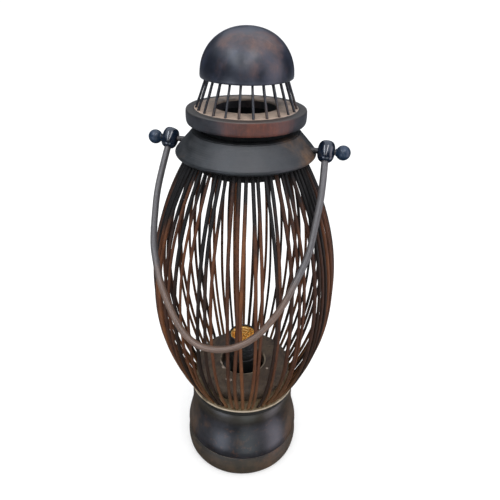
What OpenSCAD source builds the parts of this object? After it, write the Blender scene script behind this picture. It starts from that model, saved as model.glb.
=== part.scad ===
// Reed lantern lamp: a free-standing table lamp of turned, dark-lacquered wood and thin bent
// reeds, with a domed cap on straight sticks, a cane carrying bail and a threaded lampholder.
// Millimetres, +Z up. The origin is the centre of the foot ring's resting face. The bail swings
// about the X axis direction, and the bail rests against the cage on the -Y side.

/* [Cage] */
// number of bent reeds round the cage
reed_count = 64; // [56:4:68]
// reed diameter
reed_d = 2.7; // [2.2:0.1:2.8]
// widest centre-line radius of the cage
cage_r = 92; // [89:0.1:94]
// height of the widest point
cage_mid_z = 225; // [218:1:232]

/* [Lid] */
// number of straight sticks under the dome
cap_stick_count = 24; // [18:1:26]
// cap stick diameter
cap_stick_d = 2.2; // [1.8:0.1:2.6]
// widest radius of the dome
dome_r = 40.5; // [40:0.1:42]
// dome rise above its widest circle
dome_rise = 39; // [36:0.1:42]
// radius of the chimney hole through the upper ring
ring_hole_r = 27.6; // [24:0.1:28.5]

/* [Bail] */
// cane diameter
bail_d = 6.2; // [5:0.1:6.4]
// pivot pin diameter
pin_d = 5; // [4:0.1:5.2]
// diameter of the ball knobs
ball_d = 13.2; // [11:0.1:14]

/* [Lampholder] */
// inside radius of the brass shell in its thread grooves
shell_r = 13.3; // [13.2:0.05:13.4]
// height of the lampholder's mouth above the table
mouth_z = 158.6; // [154:0.1:162]

/* [Hidden] */
$fn = 64;
glue = 0.05;        // radial gap of a glued or pressed joint
run = 0.05;         // radial gap of the running fit between pin and bead
play = 0.3;         // gap between bodies that move apart

// base heights
foot_top = 27.5;
body_top = 88.9;
rim_top = 98.8;
rim_r = 60.1;
plat_top = 121.2;
hole_r = 24.2;

// cage: a lower and an upper arc that meet at the widest point
foot_r = 56;        // centre-line radius where a reed enters the rim
head_r = 51.5;      // centre-line radius where a reed enters the collar
head_z = 367;
s1 = cage_r - foot_r;
s2 = cage_r - head_r;
h1 = cage_mid_z - rim_top;
h2 = head_z - cage_mid_z;
arc1 = (h1 * h1 + s1 * s1) / (2 * s1);
arc2 = (h2 * h2 + s2 * s2) / (2 * s2);
lo_z = 92.6;        // lower end of a reed, inside the rim
hi_z = 371.2;       // upper end of a reed, inside the collar
a1 = asin((cage_mid_z - lo_z) / arc1);
a2 = asin((hi_z - cage_mid_z) / arc2);

// pivot and bail
pivot_z = 375;
bead_x = 73.35;
bead_h = 18.6;
bead_rr = 7.8;
ball_x = bead_x + bead_rr + 0.5 + ball_d / 2;
// the cane from the right bead round to the left: a straight stretch, then tangent arcs [length, turn]
cane_straight = 56.3;
cane = [[59.3, 20.9], [50.7, 16.4], [89.1, 106.5], [36.9, 8.7], [61.3, 22], [66.9, 12.8]];
cane_h0 = -0.5;   // heading at the right bead, from straight down
cane_w0 = 10;       // the bead's lower end leaves this length of cane inside and just below it
bail_reach = 186.7; // pivot axis to the cane's lowest point
// at rest the arms, not the lowest point, come near the cage, so the lowest point stands off it
bail_rest = asin((cage_r + reed_d / 2 + bail_d / 2 + 11.2) / bail_reach);

// colours
c_lacquer = [0.16, 0.17, 0.19];
c_worn = [0.36, 0.24, 0.19];
c_black = [0.06, 0.06, 0.07];
c_reed = [0.45, 0.31, 0.22];
c_raw = [0.74, 0.66, 0.55];
c_cane = [0.52, 0.47, 0.44];
c_bead = [0.09, 0.13, 0.18];
c_brass = [0.80, 0.62, 0.28];
c_steel = [0.62, 0.63, 0.65];
c_dust = [0.42, 0.34, 0.26];

// ---- curves -------------------------------------------------------------------------
// Catmull-Rom curve through the points p, n steps a span
function cr(a, b, c, d, t) = 0.5 * ((2 * b) + (c - a) * t + (2 * a - 5 * b + 4 * c - d) * t * t + (3 * b - a - 3 * c + d) * t * t * t);
function smooth(p, n = 5) = [for (i = [0:len(p) - 2], k = [0:n - 1])
    cr(p[max(0, i - 1)], p[i], p[i + 1], p[min(len(p) - 1, i + 2)], k / n), p[len(p) - 1]];
module lathe(pts, fn = 96) { rotate_extrude($fn = fn) polygon(pts); }
module tube(ro, ri, z0, z1, fn = 64) {
    rotate_extrude($fn = fn) translate([ri, z0]) square([ro - ri, z1 - z0]);
}

// ---- lid ----------------------------------------------------------------------------
dome_z = 435.8;     // widest circle of the dome
cap_top_r = 35.8;
cap_foot_r = 44.4;
cap_foot_z = 408.9;
cap_lean = atan((cap_foot_r - cap_top_r) / (432.3 - cap_foot_z));

// one straight stick, or its hole with g more radius and e more length at both ends
module cap_stick(j, g = 0, e = 0) {
    rotate([0, 0, -83.9 + j * 360 / cap_stick_count])
        translate([cap_foot_r, 0, cap_foot_z]) rotate([0, -cap_lean, 0])
            translate([0, 0, -7 - e]) cylinder(h = 37.6 + 2 * e, r = cap_stick_d / 2 + g, $fn = 24);
}
module cap_dome() color(c_lacquer) difference() {
    // section slightly fuller than an ellipse
    lathe([for (a = [0:4:88]) [dome_r * pow(cos(a), 0.954), dome_z + dome_rise * pow(sin(a), 0.954)],
           [0, dome_z + dome_rise], [0, dome_z + 16], [12, dome_z + 15.2], [22, dome_z + 12], [28.5, dome_z + 5.5],
           [31.6, dome_z - 1.6], [dome_r - 0.9, dome_z - 1.6], [dome_r - 0.2, dome_z - 0.9]]);
    for (j = [0:cap_stick_count - 1]) cap_stick(j, glue, 0.3);
}
module cap_sticks() color(c_black) for (j = [0:cap_stick_count - 1]) cap_stick(j);

ring_lo = 395.9;
module upper_ring() color(c_worn) difference() {
    lathe(concat([[34.05, 402], [34.05, ring_lo]],
        smooth([[51, ring_lo], [52.5, 396.5], [53.3, 398.2], [53.6, 401], [53.6, 405], [53.4, 407.4], [52.8, 408.4], [51.4, 408.8]], 4),
        [[40, 409.3], [ring_hole_r + 1.6, 409.9], [ring_hole_r + 0.5, 409.7], [ring_hole_r, 409], [ring_hole_r, 402]]));
    for (j = [0:cap_stick_count - 1]) cap_stick(j, glue, 0.3);
}
neck_z = 388.8;     // top face of the collar
module neck() color(c_black)
    lathe([[27.6, 372], [38.6, 372], [39.7, 373.5], [39.7, neck_z + play], [41.5, neck_z + play], [41.5, ring_lo - glue],
           [34, ring_lo - glue], [34, 402 - glue], [27.6, 402 - glue]]);

// ---- collar -------------------------------------------------------------------------
function reed_az(i) = (i + 0.5) * 360 / reed_count + 0.55 * sin(i * 137.5) + 0.3 * sin(i * 71);

module collar() color(c_lacquer) difference() {
    lathe(concat([[40, 372], [40, neck_z], [47.8, neck_z], [49, neck_z - 0.6]],
        smooth([[49.6, 387.9], [53.4, 383.6], [57.2, 379.4], [60.9, 375.2], [63.7, 371.9], [64.4, 370.3], [64.1, 368.7], [62.4, 367.2], [59.2, 366.2]], 4),
        [[57.6, 366], [44.05, 366], [44.05, 372]]));
    for (i = [0:reed_count - 1]) rotate([0, 0, 45 + reed_az(i)]) head_socket();
    for (s = [-1, 1]) translate([s * 46, 0, pivot_z]) rotate([0, s * 90, 0]) cylinder(h = 20, r = pin_d / 2 + glue, $fn = 32);
}
// socket for a reed's upper end
module head_socket() {
    am = asin((368.8 - cage_mid_z) / arc2);
    translate([cage_r - arc2 + arc2 * cos(am), 0, cage_mid_z + arc2 * sin(am)]) rotate([0, -am, 0])
        translate([0, 0, -12]) cylinder(h = 15.2, r = reed_d / 2 + 0.15, $fn = 24);
}
// socket for a reed's foot
module foot_socket() {
    am = asin((cage_mid_z - 95.8) / arc1);
    translate([cage_r - arc1 + arc1 * cos(am), 0, cage_mid_z - arc1 * sin(am)]) rotate([0, am, 0])
        translate([0, 0, -4.2]) cylinder(h = 16, r = reed_d / 2 + 0.15, $fn = 24);
}
module throat_sleeve() color(c_black) tube(44, 40.4, 354.3, 372 - glue, 96);

// ---- pivots and bail ----------------------------------------------------------------
module pin(s) {
    translate([s * 47, 0, pivot_z]) rotate([0, s * 90, 0]) cylinder(h = ball_x - 47 - ball_d / 2 + 3.4, r = pin_d / 2, $fn = 32);
}
module pivot_pin_left() color(c_worn) pin(-1);
module pivot_pin_right() color(c_worn) pin(1);
module end_ball(s) {
    translate([s * ball_x, 0, pivot_z]) rotate([0, s * 90, 0]) difference() {
        union() {
            sphere(d = ball_d, $fn = 48);
            translate([0, 0, 0.1 - ball_d / 2]) cylinder(h = 2.4, r = 3.4, $fn = 32);
        }
        translate([0, 0, -ball_d / 2 - 1]) cylinder(h = 4.5, r = pin_d / 2 + glue, $fn = 32);
    }
}
module end_ball_left() color(c_bead) end_ball(-1);
module end_ball_right() color(c_bead) end_ball(1);

// barrel bead, its own axis tilted by t in the bail's plane; the cane enters its lower end
module bead(s, t) {
    difference() {
        rotate([0, t, 0]) difference() {
            lathe(concat([[0, -bead_h / 2]], smooth([[3.8, -bead_h / 2], [5.3, -8.6], [6.8, -6.6], [7.6, -3.5], [bead_rr, 0],
                  [7.6, 3.5], [6.8, 6.6], [5.3, 8.6], [3.8, bead_h / 2]], 4), [[0, bead_h / 2]]), 64);
            translate([0, 0, -bead_h / 2 - 1]) cylinder(h = 5.4, r = bail_d / 2 + glue, $fn = 32);
        }
        translate([-15, 0, 0]) rotate([0, 90, 0]) cylinder(h = 30, r = pin_d / 2 + run, $fn = 32);
    }
}
// the left bead is tilted so that its bore meets the cane's end
cane_turn = [for (i = 0, t = 0; i <= len(cane); t = t + (i < len(cane) ? cane[i][1] : 0), i = i + 1) t];
cane_hd = [for (t = cane_turn) cane_h0 - t];
function cane_r(i) = cane[i][0] * 180 / (PI * cane[i][1]);
function cane_p(i) = i == 0 ? [bead_x, 0] + (cane_w0 + cane_straight) * [sin(cane_h0), -cos(cane_h0)] :
    cane_p(i - 1) + cane_r(i - 1) * ([-cos(cane_hd[i - 1]), -sin(cane_hd[i - 1])] + [cos(cane_hd[i]), sin(cane_hd[i])]);
cane_end = cane_p(len(cane));
left_tilt = atan2(-(cane_end.x + bead_x), -cane_end.y);
module bail_frame() { translate([0, 0, pivot_z]) rotate([-bail_rest, 0, 0]) children(); }
module bead_left() color(c_bead) bail_frame() translate([-bead_x, 0, 0]) bead(-1, left_tilt);
module bead_right() color(c_bead) bail_frame() translate([bead_x, 0, 0]) bead(1, -cane_h0);
// a slight growth node of the cane, also where two arcs meet
module cane_node(p, h) {
    translate([p.x, 0, p.y]) rotate([0, -h, 0]) translate([0, 0, -0.7]) cylinder(h = 1.4, d = bail_d + 0.24, $fn = 24);
}
module bail() color(c_cane) bail_frame() {
    n = len(cane);
    for (i = [0:n - 1]) {
        c = cane_p(i) - cane_r(i) * [cos(cane_hd[i]), sin(cane_hd[i])];
        d = 0.15 * 180 / (PI * cane_r(i));
        translate([c.x, 0, c.y]) rotate([90, 0, 0]) rotate([0, 0, cane_hd[i + 1] + d])
            rotate_extrude(angle = cane[i][1] - 2 * d, $fn = round(360 / cane[i][1] * max(4, cane[i][1] / 5))) translate([cane_r(i), 0]) circle(d = bail_d, $fn = 24);
        cane_node(cane_p(i), cane_hd[i]);
    }
    p0 = cane_p(0);
    pn = cane_p(n);
    cane_node(pn, cane_hd[n]);
    translate([p0.x, 0, p0.y]) rotate([0, -cane_h0, 0]) translate([0, 0, 0.15]) cylinder(h = cane_straight + 4.8, d = bail_d, $fn = 24);
    translate([pn.x, 0, pn.y]) rotate([0, left_tilt, 0]) translate([0, 0, 0.15]) cylinder(h = 4.8, d = bail_d, $fn = 24);
}

// ---- cage ---------------------------------------------------------------------------
module reed(i) {
    d1 = 0.12 * 180 / (PI * arc1);
    d2 = 0.12 * 180 / (PI * arc2);
    rotate([0, 0, reed_az(i)]) union() {
        translate([cage_r - arc1, 0, cage_mid_z]) rotate([90, 0, 0]) rotate([0, 0, -a1])
            rotate_extrude(angle = a1 - d1, $fn = 120) translate([arc1, 0]) circle(d = reed_d, $fn = 16);
        translate([cage_r - arc2, 0, cage_mid_z]) rotate([90, 0, 0]) rotate([0, 0, d2])
            rotate_extrude(angle = a2 - d2, $fn = 120) translate([arc2, 0]) circle(d = reed_d, $fn = 16);
        // a faint growth node at the widest point, where the two arcs meet
        translate([cage_r, 0, cage_mid_z - 0.5]) cylinder(h = 1, d = reed_d + 0.16, $fn = 16);
    }
}
module reeds(q) { n = reed_count / 4; for (i = [0:n - 1]) reed(i + q * n); }
// quarter 0 starts at +X; the quarters are turned so that the front one is centred on -Y
module quarter(q) { rotate([0, 0, 45]) reeds(q); }
module cage_back() color(c_reed) quarter(0);
module cage_left() color(c_reed) quarter(1);
module cage_front() color(c_reed) quarter(2);
module cage_right() color(c_reed) quarter(3);

// ---- base ---------------------------------------------------------------------------
module base_rim() color(c_raw) difference() {
    lathe(concat([[48, 84], [48, body_top], [57, body_top]],
        smooth([[57.2, 89.4], [57.9, 91.4], [59, 94.6], [59.9, 97], [rim_r, 98.2]], 4),
        [[59.8, rim_top], [44.65, rim_top], [44.65, 84]]));
    for (i = [0:reed_count - 1]) rotate([0, 0, 45 + reed_az(i)]) foot_socket();
}
module base_body() color(c_lacquer) difference() {
    lathe(concat([[52, 19.1], [56.95, 19.1], [56.95, foot_top + glue]],
        smooth([[63.9, foot_top + glue], [64.6, 29.6], [64.9, 33], [64.5, 39], [62.8, 47], [60.3, 57], [59, 65], [58.4, 73], [58.3, 80], [57.8, 85.5], [57, body_top - glue]], 5),
        [[48.05, body_top - glue], [48.05, 83.9], [44, 80], [50, 62]]));
    // inlet for the cord, through the back wall, with a flat seat for the bushing
    translate([0, 45, 42]) rotate([-90, 0, 0]) cylinder(h = 40, r = 4.5, $fn = 48);
    translate([0, 61.2, 42]) rotate([-90, 0, 0]) cylinder(h = 10, r = 7.3, $fn = 48);
}
module foot_ring() color(c_worn) difference() {
    lathe(concat([[58.3, 0]], smooth([[61.4, 0], [62.9, 1.4], [64.8, 6.5], [65.7, 13.5], [65.4, 20], [64.7, 24.8], [63.6, foot_top]], 5),
        [[57, foot_top], [57, 19], [52, 19], [52, 8], [58.3, 8]]));
    for (k = [0:2]) rotate([0, 0, 30 + k * 120]) translate([55.1, 0, 7]) cylinder(h = 9, r = 1.5 + glue, $fn = 24);
}
module platform() color(c_dust) difference() {
    lathe(concat([[hole_r, 107]], [[hole_r, 119.6], [hole_r + 1.2, 120.9], [hole_r + 2, plat_top], [47.5, plat_top]],
        smooth([[49.6, 120.9], [52, 119.3], [53.2, 116.6], [52.8, 113.2], [50.8, 108.6], [47.6, 103.4], [44.7, rim_top + 0.2]], 4),
        [[44.6, rim_top], [44.6, 86], [38.5, 86], [38.5, 107]]));
    for (s = [-1, 1]) translate([s * 31, 0, 106]) cylinder(h = 9, r = 1.7 + glue, $fn = 24);
}

// ---- lampholder ---------------------------------------------------------------------
strap_z = 104.9;    // underside of the strap
hb = 107;           // bottom of the lampholder
step_z = 141.6;     // joint between the holder's base and skirt
hold_r = 15.4;
term_az = [-108.6, 71.4];
term_z = 127;
module holder_base() color(c_black) difference() {
    lathe([[5.2, hb], [13.4, hb], [14.6, hb + 1.2], [14.6, 122.6], [hold_r, 123.4], [hold_r, 129], [14.9, 129.6], [14.9, 131.4], [hold_r, 132],
           [hold_r, step_z - 0.4], [hold_r - 0.4, step_z], [14.0, step_z], [14.0, 129.7], [9, 129.7], [9, 124], [5.2, 120]]);
    for (a = term_az) rotate([0, 0, a]) {
        translate([11, 0, term_z]) rotate([0, 90, 0]) cylinder(h = 10, r = 2.9, $fn = 32);
        translate([6, 0, term_z]) rotate([0, 90, 0]) cylinder(h = 6, r = 1.3, $fn = 24);
    }
}
module holder_skirt() color(c_black)
    lathe([[13.95, step_z + 0.05], [hold_r, step_z + 0.05], [hold_r, 143.4], [15.1, 144.2], [15.1, 154.8], [15.6, 155.6], [15.6, mouth_z - 0.8],
           [15.1, mouth_z], [14.4, mouth_z], [14, mouth_z - 0.5], [13.95, 150]]);
module shell_insulator() color([0.85, 0.83, 0.78]) difference() {
    tube(13.9, 2, 129.75, 133.5);
    for (s = [-1, 1]) translate([s * 8.4, 0, 129]) cylinder(h = 6, r = 1.3, $fn = 24);
}
module screw_shell() color(c_brass) {
    z0 = 133.6;
    z1 = mouth_z - 1.4;
    n = 6;
    // flat lands at the thread's inner radius, with a groove between each two
    lathe(concat([[13.8, z0], [13.8, z1]],
        [for (k = [n:-1:0]) each let (z = z0 + 0.8 + k * 3.63)
            concat([[shell_r - 0.7, z + 1.02], [shell_r - 0.7, z]], k > 0 ? [[shell_r, z - 0.8], [shell_r, z - 1.81]] : [])],
        [[10.5, z0 + 0.8], [10.5, z0]]));
}
module centre_contact() color(c_brass) union() {
    translate([0, 0, 126]) cylinder(h = 8.1, r = 1.95, $fn = 32);
    translate([0, 0, 133.6]) cylinder(h = 0.4, r = 4.2, $fn = 32);
    translate([0, 0, 133.9]) cylinder(h = 0.45, r = 3, $fn = 32);
}
module terminal_screws() color(c_brass) for (a = term_az) rotate([0, 0, a]) difference() {
    union() {
        translate([12.6, 0, term_z]) rotate([0, 90, 0]) cylinder(h = 2.3, r = 2.6, $fn = 32);
        translate([9.6, 0, term_z]) rotate([0, 90, 0]) cylinder(h = 3.2, r = 1.25, $fn = 24);
    }
    translate([14.3, -3, term_z - 0.4]) cube([2, 6, 0.8]);
}
module holder_strap() color(c_steel) difference() {
    translate([-37, -7, strap_z]) cube([74, 14, 2]);
    translate([0, 0, strap_z - 1]) cylinder(h = 4, r = 5.1, $fn = 48);
    for (s = [-1, 1]) translate([s * 31, 0, strap_z - 1]) cylinder(h = 4, r = 1.9, $fn = 24);
}
module strap_screws() color(c_steel) for (s = [-1, 1]) translate([s * 31, 0, 0]) difference() {
    union() {
        translate([0, 0, strap_z - 2.2]) cylinder(h = 2.15, r = 3.4, $fn = 32);
        translate([0, 0, strap_z - 1]) cylinder(h = 10.4, r = 1.7, $fn = 24);
    }
    translate([-4, -0.45, strap_z - 2.7]) cube([8, 0.9, 1.3]);
}
module nipple() color(c_brass) tube(5, 3.6, 96, 119, 48);
module washer() color(c_steel) tube(8, 5.1, strap_z - 1.25, strap_z - 0.05, 48);
module lock_nut() color(c_steel) difference() {
    translate([0, 0, strap_z - 5.3]) cylinder(h = 4, r = 8.1, $fn = 6);
    translate([0, 0, strap_z - 6]) cylinder(h = 6, r = 5.1, $fn = 48);
}

// ---- wiring inside the base ----------------------------------------------------------
// an insulated lead rises from the terminal block, through the nipple, to the holder
module lead(s) {
    translate([s * 1.75, 0, 27]) cylinder(h = 92.5, r = 1.25, $fn = 24);
    translate([s * 1.75, 0, 22.5]) cylinder(h = 4.5, r = 0.7, $fn = 24);
}
module lead_live() color([0.35, 0.22, 0.14]) lead(-1);
module lead_neutral() color([0.25, 0.35, 0.55]) lead(1);
module terminal_block() color([0.9, 0.89, 0.85]) difference() {
    union() {
        translate([-11, -8, 8.1]) cube([22, 16, 5]);
        translate([-8, -6, 13]) cube([16, 12, 13.9]);
    }
    for (s = [-1, 1]) {
        translate([s * 1.75, 0, 22]) cylinder(h = 6, r = 0.75, $fn = 24);
        translate([s * 4, -7, 20]) rotate([-90, 0, 0]) cylinder(h = 3.6, r = 1.8, $fn = 24);
        translate([s * 9.3, 0, 7]) cylinder(h = 8, r = 1.0, $fn = 24);
    }
}
module block_screws() color(c_steel) for (s = [-1, 1]) difference() {
    translate([s * 4, -6.2, 20]) rotate([-90, 0, 0]) cylinder(h = 2.6, r = 1.75, $fn = 24);
    translate([s * 4 - 2, -6.7, 19.7]) cube([4, 1.2, 0.6]);
}
module cord_bushing() color(c_black) translate([0, 0, 42]) rotate([-90, 0, 0]) rotate_extrude($fn = 64)
    polygon([[3.2, 49], [4.4, 49], [4.45, 50], [4.45, 61.25], [7.1, 61.25], [7.1, 62.9], [6.3, 63.6], [4.2, 63.6], [3.2, 62.8]]);
module bottom_cover() color(c_dust) difference() {
    translate([0, 0, 5]) cylinder(h = 2.95, r = 58, $fn = 128);
    for (k = [0:2]) rotate([0, 0, 30 + k * 120]) translate([55.1, 0, 4]) cylinder(h = 5, r = 1.7, $fn = 24);
}
module cover_screws() color(c_steel) for (k = [0:2]) rotate([0, 0, 30 + k * 120]) translate([55.1, 0, 0]) difference() {
    union() {
        translate([0, 0, 2.9]) cylinder(h = 2.05, r = 2.8, $fn = 32);
        translate([0, 0, 4]) cylinder(h = 11, r = 1.5, $fn = 24);
    }
    translate([-3, -0.4, 2.4]) cube([6, 0.8, 1.3]);
}

cap_dome();
cap_sticks();
upper_ring();
neck();
collar();
throat_sleeve();
pivot_pin_left();
pivot_pin_right();
bead_left();
bead_right();
end_ball_left();
end_ball_right();
bail();
cage_front();
cage_right();
cage_back();
cage_left();
base_rim();
base_body();
foot_ring();
platform();
holder_base();
holder_skirt();
shell_insulator();
screw_shell();
centre_contact();
terminal_screws();
holder_strap();
strap_screws();
nipple();
lock_nut();
washer();
lead_live();
lead_neutral();
terminal_block();
block_screws();
cord_bushing();
bottom_cover();
cover_screws();
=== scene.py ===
import math
import bpy
import bmesh
import numpy as np
from mathutils import Matrix, Vector


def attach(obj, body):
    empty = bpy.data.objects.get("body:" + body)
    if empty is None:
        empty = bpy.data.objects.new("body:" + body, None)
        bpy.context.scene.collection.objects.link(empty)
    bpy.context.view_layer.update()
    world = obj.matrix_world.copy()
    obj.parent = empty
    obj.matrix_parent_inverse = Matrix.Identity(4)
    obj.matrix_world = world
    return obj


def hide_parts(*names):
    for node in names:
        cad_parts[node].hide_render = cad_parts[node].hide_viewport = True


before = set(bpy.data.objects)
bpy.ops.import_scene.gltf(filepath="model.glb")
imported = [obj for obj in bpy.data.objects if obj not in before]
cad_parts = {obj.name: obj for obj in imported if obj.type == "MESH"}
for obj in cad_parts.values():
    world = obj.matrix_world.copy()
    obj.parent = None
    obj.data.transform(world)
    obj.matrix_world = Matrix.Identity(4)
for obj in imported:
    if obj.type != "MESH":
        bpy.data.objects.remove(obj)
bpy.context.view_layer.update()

MM = 0.001
SEG = 224
rng = np.random.default_rng(64)


# ---------------------------------------------------------------- mesh helpers (all in mm)
def catmull(p, n):
    """A smooth curve through the points p, n steps a span."""
    p = np.asarray(p, float)
    q = np.vstack([2 * p[0] - p[1], p, 2 * p[-1] - p[-2]])
    out = []
    for i in range(len(p) - 1):
        a, b, c, d = q[i:i + 4]
        for k in range(n):
            t = k / n
            out.append(0.5 * (2 * b + (c - a) * t + (2 * a - 5 * b + 4 * c - d) * t * t + (3 * b - a - 3 * c + d) * t ** 3))
    out.append(p[-1])
    return [tuple(v) for v in out]


def fillet(pts, n=5, closed=True):
    """Corners given as (r, z, radius) are rounded, and those given as (r, z) stay as they are."""
    m = len(pts)
    out = []
    for i, c in enumerate(pts):
        if len(c) < 3 or c[2] <= 0 or (not closed and i in (0, m - 1)):
            out.append((c[0], c[1]))
            continue
        p = np.array(c[:2], float)
        a = np.array(pts[(i - 1) % m][:2], float) - p
        b = np.array(pts[(i + 1) % m][:2], float) - p
        la, lb = np.linalg.norm(a), np.linalg.norm(b)
        a, b = a / la, b / lb
        half = math.acos(max(-1, min(1, float(a @ b)))) / 2
        cut = min(c[2] / math.tan(half), 0.48 * la, 0.48 * lb)
        rad = cut * math.tan(half)
        mid = (a + b) / np.linalg.norm(a + b)
        o = p + mid * rad / math.sin(half)
        s, e = p + a * cut, p + b * cut
        a0 = math.atan2(*(s - o)[::-1])
        a1 = math.atan2(*(e - o)[::-1])
        d = (a1 - a0 + math.pi) % (2 * math.pi) - math.pi
        out += [tuple(o + rad * np.array([math.cos(a0 + d * k / n), math.sin(a0 + d * k / n)])) for k in range(n + 1)]
    return out


def dense(pts, step=1.5, closed=True):
    """Long straight stretches get points in between, so that shading stays crisp at the corners."""
    out = []
    m = len(pts)
    for i in range(m if closed else m - 1):
        a, b = np.array(pts[i], float), np.array(pts[(i + 1) % m], float)
        k = max(1, int(math.ceil(np.linalg.norm(b - a) / step)))
        out += [tuple(a + (b - a) * j / k) for j in range(k)]
    if not closed:
        out.append(tuple(pts[-1]))
    return out


def build(name, verts, faces, material, body, nodes=(), sharp=50, floats=None, hard=False):
    me = bpy.data.meshes.new(name)
    me.from_pydata((np.asarray(verts, float) * MM).tolist(), [], faces)
    me.update()
    bm = bmesh.new()
    bm.from_mesh(me)
    bmesh.ops.recalc_face_normals(bm, faces=bm.faces[:])
    bm.to_mesh(me)
    bm.free()
    for key, vals in (floats or {}).items():
        at = me.attributes.new(key, "FLOAT", "POINT")
        at.data.foreach_set("value", np.asarray(vals, np.float32))
    me.polygons.foreach_set("use_smooth", [True] * len(me.polygons))
    me.set_sharp_from_angle(angle=math.radians(sharp))
    for m in material if isinstance(material, (list, tuple)) else [material]:
        me.materials.append(m)
    ob = bpy.data.objects.new(name, me)
    bpy.context.scene.collection.objects.link(ob)
    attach(ob, body)
    if nodes:
        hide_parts(*nodes)
    return ob


def spin(profile, seg=None, closed=True, wob=None):
    """Turned solid: vertices and faces. An open profile starts or ends on the axis."""
    seg = seg or SEG
    ang = np.arange(seg) / seg * 2 * math.pi
    verts, rows = [], []
    for r, z in profile:
        if r < 1e-6:
            rows.append([len(verts)])
            verts.append((0, 0, z))
        else:
            rows.append(list(range(len(verts), len(verts) + seg)))
            rr = r if wob is None else r + wob(ang, z, r)
            verts += list(zip(rr * np.cos(ang), rr * np.sin(ang), np.full(seg, z)))
    faces = []
    n = len(rows)
    for i in range(n if closed else n - 1):
        a, b = rows[i], rows[(i + 1) % n]
        if len(a) == 1 and len(b) == 1:
            continue
        for k in range(seg):
            l = (k + 1) % seg
            if len(a) == 1:
                faces.append((a[0], b[l], b[k]))
            elif len(b) == 1:
                faces.append((a[k], a[l], b[0]))
            else:
                faces.append((a[k], a[l], b[l], b[k]))
    return verts, faces


def merge(parts):
    verts, faces = [], []
    for v, f in parts:
        o = len(verts)
        verts += [tuple(x) for x in v]
        faces += [tuple(i + o for i in q) for q in f]
    return verts, faces


def moved(part, m):
    v, f = part
    a = np.asarray(v, float)
    r = np.array([[m[i][j] for j in range(3)] for i in range(3)])
    t = np.array([m[i][3] for i in range(3)])
    return a @ r.T + t, f


def sweep(path, radius, sides=10, squash=None, round_ends=True):
    """Tube along path. radius is one number a point or one a point and side. Ends are domed."""
    P = np.asarray(path, float)
    n = len(P)
    T = np.gradient(P, axis=0)
    T /= np.linalg.norm(T, axis=1)[:, None]
    up = np.array([0, 0, 1.0]) if abs(T[0][2]) < 0.9 else np.array([1.0, 0, 0])
    u = np.cross(up, T[0])
    u /= np.linalg.norm(u)
    R = np.asarray(radius, float)
    if R.ndim == 0:
        R = np.full(n, float(R))
    verts, faces = [], []
    th = np.arange(sides) / sides * 2 * math.pi
    for i in range(n):
        u = u - T[i] * (u @ T[i])
        u /= np.linalg.norm(u)
        w = np.cross(T[i], u)
        rad = R[i] if R.ndim == 1 else R[i][:, None]
        ring = P[i] + rad * (np.cos(th)[:, None] * u + np.sin(th)[:, None] * w)
        verts += [tuple(v) for v in ring]
    for i in range(n - 1):
        for k in range(sides):
            l = (k + 1) % sides
            faces.append((i * sides + k, i * sides + l, (i + 1) * sides + l, (i + 1) * sides + k))
    r0 = float(np.mean(R[0])); r1 = float(np.mean(R[-1]))
    a = len(verts)
    verts += [tuple(P[0] - T[0] * r0 * 0.35), tuple(P[-1] + T[-1] * r1 * 0.35)]
    for k in range(sides):
        l = (k + 1) % sides
        faces.append((l, k, a))
        faces.append(((n - 1) * sides + k, (n - 1) * sides + l, a + 1))
    return verts, faces


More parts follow.
